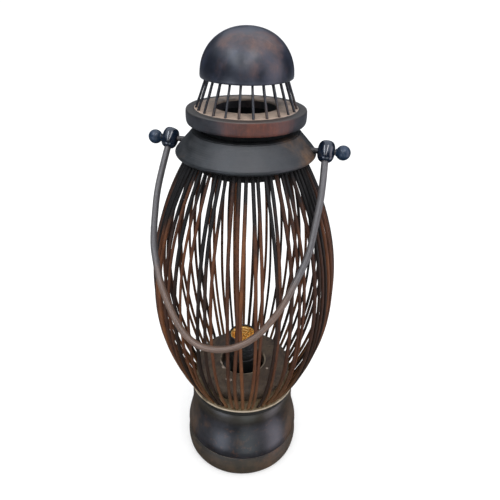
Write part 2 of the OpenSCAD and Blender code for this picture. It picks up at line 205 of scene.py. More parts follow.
# ---------------------------------------------------------------- material helpers
class Mat:
    def __init__(s, name, rough=0.5, metal=0.0, coat=0.0, coat_rough=0.1, ior=1.5, spec=0.5):
        s.m = bpy.data.materials.new(name)
        s.m.use_nodes = True
        s.t = s.m.node_tree
        s.t.nodes.clear()
        s.p = s.node("ShaderNodeBsdfPrincipled")
        s.o = s.node("ShaderNodeOutputMaterial")
        s.t.links.new(s.p.outputs["BSDF"], s.o.inputs["Surface"])
        s.co = s.node("ShaderNodeTexCoord").outputs["Object"]
        s.p.inputs["Roughness"].default_value = rough
        s.p.inputs["Metallic"].default_value = metal
        s.p.inputs["Coat Weight"].default_value = coat
        s.p.inputs["Coat Roughness"].default_value = coat_rough
        s.p.inputs["IOR"].default_value = ior
        s.p.inputs["Specular IOR Level"].default_value = spec

    def node(s, kind, **kw):
        n = s.t.nodes.new(kind)
        for k, v in kw.items():
            setattr(n, k, v)
        return n

    def put(s, sock, v):
        if isinstance(v, bpy.types.NodeSocket):
            s.t.links.new(v, sock)
        elif v is not None:
            if sock.type == "RGBA" and len(v) == 3:
                v = (*v, 1)
            sock.default_value = v

    def math(s, op, a, b=None, clamp=False):
        n = s.node("ShaderNodeMath", operation=op, use_clamp=clamp)
        s.put(n.inputs[0], a)
        if b is not None:
            s.put(n.inputs[1], b)
        return n.outputs[0]

    def vmath(s, op, a, b=None, scale=None):
        n = s.node("ShaderNodeVectorMath", operation=op)
        s.put(n.inputs[0], a)
        if b is not None:
            s.put(n.inputs[1], b)
        if scale is not None:
            s.put(n.inputs["Scale"], scale)
        return n.outputs["Value"] if op in ("LENGTH", "DOT_PRODUCT", "DISTANCE") else n.outputs["Vector"]

    def xyz(s, v=None):
        n = s.node("ShaderNodeSeparateXYZ")
        s.put(n.inputs[0], v if v is not None else s.co)
        return n.outputs[0], n.outputs[1], n.outputs[2]

    def join(s, x, y, z):
        n = s.node("ShaderNodeCombineXYZ")
        for i, v in enumerate((x, y, z)):
            s.put(n.inputs[i], v)
        return n.outputs[0]

    def stretch(s, x, y, z, v=None):
        return s.vmath("MULTIPLY", v if v is not None else s.co, (x, y, z))

    def noise(s, scale, detail=3.0, rough=0.55, dist=0.0, v=None, colour=False):
        n = s.node("ShaderNodeTexNoise", noise_dimensions="3D")
        s.put(n.inputs["Vector"], v if v is not None else s.co)
        n.inputs["Scale"].default_value = scale
        n.inputs["Detail"].default_value = detail
        n.inputs["Roughness"].default_value = rough
        n.inputs["Distortion"].default_value = dist
        return n.outputs["Color" if colour else "Fac"]

    def noise1(s, w, scale, detail=2.0, rough=0.5):
        n = s.node("ShaderNodeTexNoise", noise_dimensions="1D")
        s.put(n.inputs["W"], w)
        n.inputs["Scale"].default_value = scale
        n.inputs["Detail"].default_value = detail
        n.inputs["Roughness"].default_value = rough
        return n.outputs["Fac"]

    def cells(s, scale, v=None, feature="F1", rand=1.0):
        n = s.node("ShaderNodeTexVoronoi", feature=feature)
        s.put(n.inputs["Vector"], v if v is not None else s.co)
        n.inputs["Scale"].default_value = scale
        n.inputs["Randomness"].default_value = rand
        return n.outputs["Distance"]

    def fit(s, v, a, b, c=0.0, d=1.0, kind="SMOOTHSTEP"):
        n = s.node("ShaderNodeMapRange", interpolation_type=kind)
        s.put(n.inputs["Value"], v)
        n.inputs["From Min"].default_value = a
        n.inputs["From Max"].default_value = b
        n.inputs["To Min"].default_value = c
        n.inputs["To Max"].default_value = d
        return n.outputs["Result"]

    def mix(s, f, a, b, blend="MIX"):
        n = s.node("ShaderNodeMix", data_type="RGBA", blend_type=blend)
        s.put(n.inputs[0], f)
        s.put(n.inputs[6], a)
        s.put(n.inputs[7], b)
        return n.outputs[2]

    def ramp(s, f, *stops):
        n = s.node("ShaderNodeValToRGB")
        s.put(n.inputs[0], f)
        e = n.color_ramp.elements
        while len(e) < len(stops):
            e.new(0.5)
        for i, (p, c) in enumerate(stops):
            e[i].position = p
            e[i].color = (*c, 1) if not isinstance(c, (int, float)) else (c, c, c, 1)
        return n.outputs[0]

    def attr(s, name):
        return s.node("ShaderNodeAttribute", attribute_type="GEOMETRY", attribute_name=name).outputs["Fac"]

    def bump(s, h, dist, strength=1.0, normal=None):
        n = s.node("ShaderNodeBump")
        s.put(n.inputs["Height"], h)
        n.inputs["Distance"].default_value = dist
        n.inputs["Strength"].default_value = strength
        if normal is not None:
            s.put(n.inputs["Normal"], normal)
        return n.outputs["Normal"]

    # masks
    def radius(s):
        x, y, z = s.xyz()
        return s.vmath("LENGTH", s.join(x, y, 0.0))

    def up(s):
        n = s.node("ShaderNodeTexCoord").outputs["Normal"]
        return s.xyz(n)[2]

    def spot(s, x, y, z, size, soft=1.0, v=None):
        """1 at a point (mm) falling to 0 at size (mm)."""
        d = s.vmath("DISTANCE", v if v is not None else s.co, (x * MM, y * MM, z * MM))
        return s.fit(d, size * MM * (1 - soft), size * MM, 1.0, 0.0)

    def toward(s, az, wide):
        """1 on the side that faces azimuth az (0 = -Y, 90 = +X), falling to 0 wide degrees away."""
        x, y, z = s.xyz()
        n = s.vmath("NORMALIZE", s.join(x, y, 0.0))
        d = s.vmath("DOT_PRODUCT", n, (math.sin(math.radians(az)), -math.cos(math.radians(az)), 0))
        return s.fit(d, math.cos(math.radians(wide)), 1.0)

    def add(s, *v):
        r = v[0]
        for k in v[1:]:
            r = s.math("ADD", r, k)
        return r

    def mul(s, *v):
        r = v[0]
        for k in v[1:]:
            r = s.math("MULTIPLY", r, k)
        return r

    def done(s, colour, rough=None, normal=None):
        s.put(s.p.inputs["Base Color"], colour)
        if rough is not None:
            s.put(s.p.inputs["Roughness"], rough)
        if normal is not None:
            s.put(s.p.inputs["Normal"], normal)
        return s.m


def lacquer(name, spots=(), sides=(), soft=0.34, big_scale=26, wear=0.62, dark=(0.012, 0.014, 0.019), brown=(0.11, 0.043, 0.024), rough=0.36,
            lines=0.35, seed=0.0, extra=None, dust_sheen_amount=0.35, dust_sheen_colour=(0.10, 0.095, 0.09), spec=0.5, coat=0.0):
    """Old dark lacquer on turned wood: fine turning rings, cloudy tone, reddish-brown wear in patches and at spots."""
    m = Mat(name, spec=spec, coat=coat, coat_rough=0.25)
    off = m.vmath("ADD", m.co, (seed, seed * 0.7, seed * 1.3))
    x, y, z = m.xyz()
    big = m.noise(big_scale, 5, 0.62, 0.6, v=off)
    cloud = m.noise(55, 4, 0.6, 0.3, v=m.vmath("ADD", off, (3.1, 0, 0)))
    fine = m.noise(420, 3, 0.6, v=off)
    grain = m.noise(1.0, 4, 0.6, 0.4, v=m.vmath("MULTIPLY", off, (330, 330, 38)))
    along = m.add(z, m.mul(m.radius(), -0.9))
    turn = m.noise1(m.add(along, m.mul(m.noise(14, 1, v=off), 0.0012)), 1500, 4, 0.7)
    turn2 = m.noise1(along, 420, 2, 0.5)
    w = m.add(m.mul(big, 0.75), m.mul(cloud, 0.35), m.mul(grain, 0.10))
    for az, wide, gain in sides:
        w = m.add(w, m.mul(m.toward(az, wide), gain))
    for sx, sy, sz, size, gain in spots:
        w = m.add(w, m.mul(m.spot(sx, sy, sz, size), gain))
    worn = m.fit(w, wear + 0.06, wear + soft)
    b = m.mix(m.fit(grain, 0.3, 0.7), tuple(0.62 * c for c in brown), brown)
    b = m.mix(m.mul(m.fit(fine, 0.5, 0.75), 0.35), b, tuple(min(1, 1.9 * c) for c in brown))
    d = m.mix(m.fit(cloud, 0.35, 0.7), tuple(0.6 * c for c in dark), tuple(1.5 * c for c in dark))
    d = m.mix(m.mul(m.fit(turn, 0.55, 0.8), 0.4 * lines), d, dust_sheen_colour)
    c = m.mix(worn, d, b)
    # dust on upward faces together with painted sheen: upward faces lightened towards the dust and sheen colour, which
    # is bluish on the dome
    dust_and_sheen = m.mul(m.fit(m.up(), 0.35, 0.95), m.fit(m.noise(90, 4, 0.6, v=off), 0.35, 0.7), dust_sheen_amount)
    c = m.mix(dust_and_sheen, c, dust_sheen_colour)
    if extra:
        c = extra(m, c)
    r = m.add(rough, m.mul(m.fit(cloud, 0.3, 0.75), 0.10), m.mul(worn, 0.06), m.mul(dust_and_sheen, 0.25), m.mul(fine, 0.06))
    h = m.add(m.mul(turn, 0.5 * lines), m.mul(turn2, 0.25 * lines), m.mul(grain, 0.35), m.mul(fine, 0.12))
    h = m.math("SUBTRACT", h, m.mul(worn, 0.35))
    return m.done(c, r, m.bump(h, 0.00022, 0.55))


# ---------------------------------------------------------------- materials
def ring_extra(m, c):
    r = m.radius()
    x, y, z = m.xyz()
    n = m.noise(240, 4, 0.6)
    rr = m.add(r, m.mul(m.math("SUBTRACT", n, 0.5), 0.0012))
    top = m.mul(m.fit(z, 0.4080, 0.4086), m.fit(rr, 0.0463, 0.0455))
    turn = m.noise1(r, 1500, 3, 0.7)
    pale = m.mix(m.fit(turn, 0.3, 0.7), (0.36, 0.265, 0.205), (0.49, 0.385, 0.315))
    # noise patches darken the pale top face, and the face is darker towards the back as well
    dirt_darker_behind = m.fit(m.add(m.noise(60, 5, 0.65), m.mul(m.toward(160, 120), 0.10)), 0.50, 0.72)
    pale = m.mix(m.mul(dirt_darker_behind, 0.75), pale, (0.125, 0.105, 0.092))
    c = m.mix(top, c, pale)
    band = m.mul(m.fit(z, 0.4072, 0.4086), m.fit(rr, 0.0457, 0.0464))
    c = m.mix(m.mul(band, 0.85), c, (0.040, 0.036, 0.032))
    # fine dark incised line at the foot of the sticks
    line = m.mul(m.fit(m.math("ABSOLUTE", m.math("SUBTRACT", r, 0.04635)), 0.0, 0.00035, 1.0, 0.0), m.fit(z, 0.4078, 0.4085))
    c = m.mix(m.mul(line, 0.8), c, (0.02, 0.015, 0.012))
    # painted shade inside the hole: its wall darkened
    bore_shade = m.fit(r, 0.0278, 0.0271)
    return m.mix(bore_shade, c, (0.01, 0.012, 0.013))


# dome: its bluish dust colour on upward faces is partly painted sheen
M_dome = lacquer("dome_lacquer", spots=[(23, -18, 464, 24, 0.30), (10, -27, 465, 18, 0.20), (-4, -26, 466, 20, 0.22), (-15, -25, 464, 16, 0.16), (17, -36, 445, 12, 0.14), (28, -28, 446, 14, 0.16),
                                        (-11, -38, 446, 14, 0.14), (-30, 26, 452, 22, 0.22), (28, 26, 446, 20, 0.2)],
                 wear=0.56, soft=0.50, big_scale=42, seed=2.0, rough=0.30, dust_sheen_amount=0.45, dark=(0.0110, 0.0145, 0.0270), brown=(0.105, 0.048, 0.034), dust_sheen_colour=(0.060, 0.062, 0.078))
M_ring = lacquer("ring_lacquer", sides=[(26, 46, 0.42), (-160, 40, 0.25)], wear=0.58, soft=0.70, seed=5.0, brown=(0.135, 0.030, 0.011), rough=0.42,
                 extra=ring_extra, dust_sheen_amount=0.2)
M_collar = lacquer("collar_lacquer", sides=[(72, 34, 0.28), (-150, 40, 0.22)], spots=[(-50, -38, 370, 22, 0.16), (60, -19, 372, 16, 0.15)], wear=0.68, seed=9.0, brown=(0.105, 0.06, 0.034), rough=0.40,
                   lines=0.75, dust_sheen_amount=0.5, dark=(0.010, 0.0125, 0.0145), dust_sheen_colour=(0.048, 0.047, 0.050))


def base_extra(m, c):
    x, y, z = m.xyz()
    # the pale scratch where the foot joins
    n = m.noise(70, 4, 0.6)
    line = m.mul(m.fit(m.math("ABSOLUTE", m.math("SUBTRACT", z, 0.02765)), 0.0, 0.00055, 1.0, 0.0), m.fit(n, 0.42, 0.58))
    c = m.mix(m.mul(line, 0.8), c, (0.20, 0.15, 0.095))
    # painted shade: the concave neck under the rim darkened
    neck = m.fit(z, 0.070, 0.084)
    c = m.mix(m.mul(neck, 0.85), c, (0.020, 0.0145, 0.006))
    turned = m.math("MAXIMUM", m.math("MAXIMUM", m.toward(112, 58), m.toward(-84, 52)), m.fit(z, 0.030, 0.018))
    c = m.mix(m.mul(turned, 0.8), c, m.mix(m.fit(n, 0.3, 0.7), (0.022, 0.015, 0.006), (0.060, 0.036, 0.015)))
    speck = m.mul(m.fit(m.noise(210, 5, 0.7), 0.54, 0.70), m.fit(z, 0.080, 0.070))
    c = m.mix(m.mul(speck, 0.55), c, (0.085, 0.038, 0.020))
    # olive-brown where the sides turn away
    return c


M_base = lacquer("base_lacquer", spots=[(12, -65, 50, 17, 0.30), (-32, -56, 60, 14, 0.26), (-4, -62, 74, 9, 0.12)], sides=[(96, 44, 0.34), (-72, 40, 0.34), (170, 50, 0.22)], wear=0.66,
                 seed=14.0, brown=(0.090, 0.042, 0.016), dark=(0.0105, 0.0100, 0.0125), rough=0.27, extra=base_extra, dust_sheen_amount=0.15)
M_foot = lacquer("foot_lacquer", sides=[(62, 30, 0.14), (-120, 40, 0.2)], spots=[(40, -52, 6, 26, 0.34)], wear=0.66, seed=21.0, brown=(0.135, 0.050, 0.013), dark=(0.016, 0.0135, 0.008), rough=0.5, dust_sheen_amount=0.1,
                 extra=base_extra)


def simple_wood(name, dark, light, rough=0.6, scale=300, bump=0.0002, spec=0.5):
    m = Mat(name, spec=spec)
    g = m.noise(1.0, 4, 0.6, 0.4, v=m.stretch(scale, scale, scale * 0.12))
    f = m.noise(500, 3, 0.6)
    c = m.mix(m.fit(g, 0.3, 0.7), dark, light)
    return m.done(c, m.add(rough, m.mul(f, 0.12)), m.bump(m.add(g, m.mul(f, 0.4)), bump, 0.5))


M_neck = simple_wood("neck_black", (0.002, 0.0028, 0.003), (0.0055, 0.0065, 0.007), rough=0.7, spec=0.15)
M_sleeve = simple_wood("sleeve_black", (0.004, 0.004, 0.004), (0.012, 0.011, 0.010), rough=0.65, spec=0.3)
M_pin = simple_wood("pin_stain", (0.008, 0.008, 0.010), (0.035, 0.026, 0.022), rough=0.45)

# black sticks of the cap: satin lacquer, with a painted reflection in lighter brown near their feet
_m = Mat("stick_lacquer")
_t = _m.attr("tone")
_g = _m.noise(1.0, 4, 0.6, v=_m.stretch(900, 900, 40))
_z = _m.xyz()[2]
_c = _m.mix(_m.fit(_g, 0.35, 0.7), (0.006, 0.008, 0.013), (0.022, 0.024, 0.032))
# painted reflection: lighter brown towards the feet stands in for light reflected on the sticks' lower part
_c = _m.mix(_m.mul(_m.fit(_z, 0.424, 0.410), _m.fit(_m.add(_t, _m.mul(_g, 0.5)), 0.5, 1.0), 0.7), _c, (0.075, 0.045, 0.033))
M_stick = _m.done(_c, _m.add(0.30, _m.mul(_g, 0.2)), _m.bump(_g, 0.00012, 0.5))

# glossy blue-black beads
_m = Mat("bead_gloss", rough=0.16, coat=0.25, coat_rough=0.08)
_n = _m.noise(140, 4, 0.6)
_f = _m.noise(900, 3, 0.6)
_w = _m.fit(_m.noise(230, 5, 0.7), 0.66, 0.78)
_c = _m.mix(_m.fit(_n, 0.3, 0.7), (0.0025, 0.005, 0.012), (0.006, 0.013, 0.028))
_c = _m.mix(_m.mul(_w, 0.5), _c, (0.05, 0.035, 0.03))
M_bead = _m.done(_c, _m.add(0.13, _m.mul(_f, 0.10), _m.mul(_w, 0.2)), _m.bump(_m.add(_n, _m.mul(_f, 0.25)), 0.0001, 0.35))

# the ball knobs: the same blue-black, rubbed to a soft satin
_m = Mat("knob_satin")
_n = _m.noise(120, 4, 0.6)
_f = _m.noise(800, 3, 0.6)
_c = _m.mix(_m.fit(_n, 0.3, 0.7), (0.003, 0.012, 0.028), (0.006, 0.022, 0.052))
M_knob = _m.done(_c, _m.add(0.34, _m.mul(_f, 0.12)), _m.bump(_m.add(_n, _m.mul(_f, 0.4)), 0.00012, 0.4))

# bent reeds: black towards the head, worn reddish brown below, each with its own tone
_m = Mat("reed_stain")
_t = _m.attr("tone")
_h = _m.attr("height")
_b = _m.attr("black")
_g = _m.noise(1.0, 4, 0.65, 0.2, v=_m.stretch(1100, 1100, 30))
_k = _m.noise(38, 4, 0.6)
_f = _m.noise(700, 3, 0.6)
_warm = _m.ramp(_m.add(_m.mul(_t, 0.55), _m.mul(_m.fit(_g, 0.25, 0.75), 0.30), _m.mul(_m.fit(_k, 0.35, 0.65), 0.15)),
                (0.0, (0.016, 0.008, 0.005)), (0.35, (0.046, 0.017, 0.008)), (0.65, (0.098, 0.034, 0.013)), (1.0, (0.19, 0.070, 0.022)))
_warm = _m.mix(_m.mul(_m.fit(_h, 0.34, 0.0), 0.55), _warm, (0.150, 0.070, 0.024))
_blk = _m.fit(_m.add(_h, _m.mul(_m.math("SUBTRACT", _k, 0.5), 0.35), _m.mul(_m.math("SUBTRACT", _b, 0.5), 0.35)), 0.72, 0.86)
_all = _m.fit(_b, 0.68, 0.76)
_c = _m.mix(_m.math("MAXIMUM", _blk, _m.mul(_all, 0.9)), _warm, _m.mix(_m.fit(_h, 0.60, 0.80), (0.013, 0.008, 0.0055), (0.007, 0.0065, 0.0065)))
_c = _m.mix(_m.fit(_h, 0.028, 0.006), _c, (0.006, 0.004, 0.003))
_m.p.inputs["Specular IOR Level"].default_value = 0.20
M_reed = _m.done(_c, _m.add(0.42, _m.mul(_g, 0.22)), _m.bump(_m.add(_g, _m.mul(_f, 0.3)), 0.00018, 0.6))

# cane bail: grey-brown, streaked along its length, browner where it hangs lowest
_m = Mat("cane_worn")
_u = _m.attr("around")
_v = _m.attr("along")
_cs = _m.join(_m.mul(_m.math("COSINE", _m.mul(_u, 6.28318)), 3.0), _m.mul(_m.math("SINE", _m.mul(_u, 6.28318)), 3.0), _m.mul(_v, 9.0))
_g = _m.noise(1.6, 5, 0.65, 0.15, v=_cs)
_g2 = _m.noise(5.0, 4, 0.6, 0.1, v=_m.vmath("ADD", _cs, (7, 3, 0)))
_k = _m.noise(30, 4, 0.6)
_low = _m.fit(_m.math("ABSOLUTE", _m.math("SUBTRACT", _v, 0.5)), 0.30, 0.12)
_grey = _m.mix(_m.fit(_g, 0.34, 0.66), (0.040, 0.038, 0.042), (0.105, 0.100, 0.105))
_brn = _m.mix(_m.fit(_g, 0.34, 0.66), (0.062, 0.035, 0.024), (0.165, 0.105, 0.076))
_c = _m.mix(_m.fit(_m.add(_low, _m.mul(_m.math("SUBTRACT", _k, 0.5), 0.9)), 0.2, 0.8), _grey, _brn)
_c = _m.mix(_m.mul(_m.fit(_g2, 0.58, 0.72), 0.5), _c, (0.20, 0.17, 0.155))
_c = _m.mix(_m.mul(_m.fit(_g2, 0.42, 0.30), 0.6), _c, (0.018, 0.014, 0.013))
M_cane = _m.done(_c, _m.add(0.36, _m.mul(_g2, 0.2)), _m.bump(_m.add(_g, _m.mul(_g2, 0.6)), 0.00025, 0.6))


# rim of the base: raw tan top face with a paler outer edge, black below
_m = Mat("rim_wood", rough=0.6)
_x, _y, _z = _m.xyz()
_r = _m.radius()
_g = _m.noise(1.0, 4, 0.6, 0.5, v=_m.stretch(260, 90, 260))
_k = _m.noise(75, 5, 0.65)
_tan = _m.mix(_m.fit(_g, 0.3, 0.7), (0.17, 0.125, 0.066), (0.31, 0.235, 0.145))
_tan = _m.mix(_m.mul(_m.fit(_k, 0.52, 0.72), 0.55), _tan, (0.075, 0.05, 0.027))
_edge = _m.mul(_m.fit(_r, 0.0588, 0.0596), _m.fit(_z, 0.0970, 0.0978))
_tan = _m.mix(_m.mul(_edge, _m.fit(_k, 0.72, 0.45)), _tan, (0.44, 0.37, 0.28))
_c = _m.mix(_m.fit(_m.add(_z, _m.mul(_m.math("SUBTRACT", _k, 0.5), 0.0016)), 0.0965, 0.0975), (0.012, 0.011, 0.008), _tan)
M_rim = _m.done(_c, _m.add(0.48, _m.mul(_g, 0.2)), _m.bump(_m.add(_g, _m.mul(_k, 0.6)), 0.00025, 0.5))

# dusty platform under the lampholder
_m = Mat("platform_dusty", rough=0.75)
_x, _y, _z = _m.xyz()
_r = _m.radius()
_g = _m.noise(1.0, 4, 0.6, 0.5, v=_m.stretch(240, 70, 240))
_k = _m.noise(60, 5, 0.7)
_f = _m.noise(600, 4, 0.7)
_c = _m.mix(_m.fit(_g, 0.3, 0.7), (0.026, 0.014, 0.007), (0.058, 0.034, 0.018))
_c = _m.mix(_m.mul(_m.fit(_m.add(_k, _m.mul(_f, 0.2)), 0.5, 0.75), 0.7), _c, (0.095, 0.066, 0.040))
_edge = _m.mul(_m.fit(_m.math("ABSOLUTE", _m.math("SUBTRACT", _r, 0.0254)), 0.0016, 0.0004), _m.fit(_z, 0.1190, 0.1204), _m.fit(_m.noise(45, 3, 0.6), 0.44, 0.54))
_c = _m.mix(_m.mul(_edge, 0.8), _c, (0.30, 0.24, 0.17))
for _p in ((-17, -19.5, 121, 3.4), (-21, -12, 121, 3.0), (30.5, -9.5, 121, 1.7), (-4.5, -38, 121, 2.4), (-8.5, -37.5, 121, 2.0)):
    _c = _m.mix(_m.mul(_m.spot(*_p, soft=0.5), _m.fit(_f, 0.3, 0.5)), _c, (0.42, 0.34, 0.28))
M_plat = _m.done(_c, _m.add(0.62, _m.mul(_k, 0.2)), _m.bump(_m.add(_g, _m.mul(_f, 0.7)), 0.0003, 0.6))

# moulded black lampholder
_m = Mat("holder_black")
_n = _m.noise(160, 4, 0.6)
_f = _m.noise(1500, 3, 0.6)
_d = _m.mul(_m.fit(_m.noise(70, 4, 0.65), 0.5, 0.75), 0.5)
_c = _m.mix(_d, (0.006, 0.007, 0.007), (0.045, 0.036, 0.027))
M_holder = _m.done(_c, _m.add(0.34, _m.mul(_n, 0.15), _m.mul(_d, 0.4)), _m.bump(_m.add(_n, _m.mul(_f, 0.3)), 0.00012, 0.4))

# brass
def brass(name, col=(0.80, 0.50, 0.16), dark=(0.30, 0.15, 0.04), rough=0.20, amount=0.5, spun=True, metal=1.0):
    m = Mat(name, metal=metal)
    n = m.noise(120, 5, 0.65, 0.4)
    f = m.noise(900, 3, 0.6)
    s = m.noise1(m.xyz()[2], 3000, 3, 0.6) if spun else f
    c = m.mix(m.mul(m.fit(n, 0.42, 0.72), amount), col, dark)
    return m.done(c, m.add(rough, m.mul(m.fit(n, 0.4, 0.7), 0.2), m.mul(f, 0.08)), m.bump(m.add(m.mul(s, 0.5), f), 0.00006, 0.4))


M_shell = brass("shell_brass", col=(0.92, 0.62, 0.22), dark=(0.60, 0.36, 0.12), metal=0.8, amount=0.3)
M_screwb = brass("terminal_brass", col=(0.62, 0.40, 0.17), dark=(0.25, 0.13, 0.06), rough=0.3, spun=False)
M_nipple = brass("nipple_brass", col=(0.70, 0.47, 0.18), rough=0.28)

# zinc-plated steel
_m = Mat("zinc_steel", metal=1.0)
_n = _m.noise(90, 4, 0.6)
_s = _m.noise(1.0, 3, 0.6, v=_m.stretch(60, 1400, 1400))
_c = _m.mix(_m.fit(_n, 0.3, 0.7), (0.36, 0.36, 0.35), (0.58, 0.58, 0.57))
M_steel = _m.done(_c, _m.add(0.26, _m.mul(_s, 0.2)), _m.bump(_m.add(_s, _m.mul(_n, 0.3)), 0.00005, 0.4))

# the same steel, long tarnished and dusty, for the strap under the lampholder
_m = Mat("strap_dusty", metal=0.6)
_n = _m.noise(110, 5, 0.65)
_f = _m.noise(900, 3, 0.6)
_c = _m.mix(_m.fit(_n, 0.3, 0.7), (0.045, 0.042, 0.038), (0.10, 0.092, 0.08))
M_strap = _m.done(_c, _m.add(0.5, _m.mul(_f, 0.2)), _m.bump(_m.add(_n, _m.mul(_f, 0.3)), 0.0001, 0.4))

# unglazed ceramic disc
_m = Mat("ceramic_disc", rough=0.55)
_n = _m.noise(200, 5, 0.65)
_f = _m.cells(1500)
M_ceramic = _m.done(_m.mix(_m.fit(_n, 0.3, 0.75), (0.62, 0.58, 0.50), (0.42, 0.36, 0.28)), _m.add(0.5, _m.mul(_n, 0.2)), _m.bump(_m.add(_n, _m.mul(_f, 0.2)), 0.0001, 0.5))


def plastic(name, col, rough=0.45):
    m = Mat(name)
    n = m.noise(150, 4, 0.6)
    f = m.noise(1800, 3, 0.6)
    c = m.mix(m.fit(n, 0.3, 0.7), tuple(0.8 * v for v in col), tuple(min(1, 1.1 * v) for v in col))
    return m.done(c, m.add(rough, m.mul(n, 0.12)), m.bump(m.add(n, m.mul(f, 0.5)), 0.00008, 0.4))


M_lead_b = plastic("lead_brown", (0.12, 0.055, 0.025))
M_lead_l = plastic("lead_blue", (0.04, 0.10, 0.28))
M_block = plastic("block_white", (0.72, 0.70, 0.63))
M_blackp = plastic("bushing_black", (0.012, 0.012, 0.013), 0.5)

# hardboard cover: fibrous brown board
_m = Mat("hardboard", rough=0.8)
_n = _m.noise(1.0, 5, 0.7, 1.2, v=_m.stretch(900, 900, 900))
_k = _m.noise(45, 4, 0.6)
_c = _m.mix(_m.fit(_n, 0.3, 0.7), (0.085, 0.048, 0.024), (0.175, 0.110, 0.060))
_c = _m.mix(_m.mul(_m.fit(_k, 0.45, 0.75), 0.5), _c, (0.06, 0.035, 0.02))
M_board = _m.done(_c, _m.add(0.72, _m.mul(_n, 0.1)), _m.bump(_m.add(_n, _m.mul(_k, 0.3)), 0.0002, 0.6))


# ---------------------------------------------------------------- lid
DZ = 435.8
prof = catmull([(39.6, DZ - 1.55), (40.2, DZ - 1.1), (40.5, DZ)], 4)[:-1]
prof += [(40.5 * math.cos(math.radians(a)) ** 0.954, DZ + 39.0 * math.sin(math.radians(a)) ** 0.954) for a in np.arange(0, 90, 2.0)]
prof += [(0, DZ + 39.0)]
inner = catmull([(0, DZ + 16), (12, DZ + 15.2), (22, DZ + 12), (28.5, DZ + 5.5), (31.2, DZ - 0.8)], 8) + fillet([(31.2, DZ - 0.8), (31.6, DZ - 1.6, 0.5), (39.6, DZ - 1.6)], 4, False)[1:-1]
prof = [(r, z) for r, z in reversed(prof)] + [(39.1, DZ - 1.6)]
full = dense(prof + list(reversed(inner)), 1.6, False)
wob = lambda a, z, r: 0.10 * np.sin(2 * a + 0.4) * (r / 42) + 0.05 * np.sin(5 * a + z * 0.2)
v, f = spin(full, closed=False, wob=wob)
build("dome_turned", v, f, M_dome, "lid", ["cap_dome"], sharp=60)

# straight sticks, each a little off line and uneven in thickness
parts, tone = [], []
lean = math.atan((44.4 - 35.8) / (432.3 - 408.9))
for j in range(24):
    az = math.radians(-83.9 + j * 360 / 24)
    e = rng.normal(0, 1, 6)
    L = 37.0
    s = np.linspace(0, 1, 26)
    t0, t1 = e[0] * 0.10, e[1] * 0.10
    rad = 44.4 + 7 * math.sin(lean) + (-(L) * math.sin(lean)) * s
    z = 408.9 - 7 * math.cos(lean) + L * math.cos(lean) * s
    tang = t0 + (t1 - t0) * s + 0.12 * e[2] * np.sin(math.pi * s)
    x = rad * math.cos(az) - tang * math.sin(az)
    y = rad * math.sin(az) + tang * math.cos(az)
    R = 1.1 + 0.05 * e[3] + 0.04 * np.sin(7 * s + e[4]) + 0.03 * np.cos(19 * s + e[5])
    R = np.clip(R, 0.98, 1.22)
    p = sweep(np.stack([x, y, z], 1), R, 12)
    parts.append(p)
    tone += [rng.random()] * len(p[0])
v, f = merge(parts)
build("cap_sticks_lacquered", v, f, M_stick, "lid", ["cap_sticks"], floats={"tone": tone})

# upper ring: rounded rim, a slightly dished top face rising to the chimney hole
outer = catmull([(51.0, 395.9), (52.5, 396.5), (53.3, 398.2), (53.6, 401), (53.6, 405), (53.4, 407.4), (52.8, 408.4), (51.4, 408.8)], 6)
top = [(49.0, 408.85), (46.9, 408.9), (46.5, 408.6), (46.2, 408.6), (45.8, 408.92), (40, 409.3, 2)]
hole = [(28.6, 409.95, 0.6), (27.6, 409.0, 0.8), (27.6, 402)]
prof = fillet([(34.05, 402), (34.05, 395.9)] + outer + top + hole, 5)
v, f = spin(dense(prof, 1.6), wob=lambda a, z, r: 0.10 * np.sin(2 * a + 1.3) * (r / 54) + 0.05 * np.sin(7 * a))
build("ring_turned", v, f, M_ring, "lid", ["upper_ring"], sharp=55)

prof = fillet([(27.6, 372, 0.5), (38.6, 372, 0.4), (39.7, 373.5, 0.6), (39.7, 389.1, 0.2), (41.5, 389.1, 0.4), (41.3, 392.4, 3), (41.5, 395.85), (34, 395.85), (34, 401.95), (27.6, 401.95)], 5)
v, f = spin(dense(prof, 1.6))
build("neck_turned", v, f, M_neck, "lid", ["neck"])

# ---------------------------------------------------------------- collar: fine turned rings down the slope
slope = catmull([(49.6, 387.9), (53.4, 383.6), (57.2, 379.4), (60.9, 375.2), (63.7, 371.9), (64.4, 370.3), (64.1, 368.7), (62.4, 367.2), (59.2, 366.2)], 12)
S = np.array(slope)
arc = np.concatenate([[0], np.cumsum(np.linalg.norm(np.diff(S, axis=0), axis=1))])
fine = np.linspace(0, arc[-1], 110)
S = np.stack([np.interp(fine, arc, S[:, 0]), np.interp(fine, arc, S[:, 1])], 1)
T = np.gradient(S, axis=0)
T /= np.linalg.norm(T, axis=1)[:, None]
N = np.stack([-T[:, 1], T[:, 0]], 1)
depth = 0.012 * np.sin(fine * 2 * math.pi / 1.9) + 0.008 * np.sin(fine * 2 * math.pi / 1.13 + 1) + 0.03 * np.sin(fine * 2 * math.pi / 7.3)
for at, dep in ((4.2, 0.05), (19.5, 0.08), (21.1, 0.05)):
    depth -= dep * np.exp(-((fine - at) / 0.28) ** 2)
depth *= np.clip(np.minimum(fine / 1.5, (24.5 - fine) / 1.5), 0, 1)
S = S + N * depth[:, None] * np.sign((N[20] @ np.array([1, 1])))
prof = fillet([(40, 372), (40, 388.8, 0.4), (47.8, 388.8, 0.5)], 5)[0:] + [(48.9, 388.5), (49.3, 388.2)] + [tuple(p) for p in S] + fillet([(57.6, 366), (44.05, 366, 0.3), (44.05, 372)], 4)
v, f = spin(dense(prof, 1.6), wob=lambda a, z, r: 0.08 * np.sin(3 * a + 0.7) * (r / 64))
build("collar_turned", v, f, M_collar, "lamp", ["collar"], sharp=60)

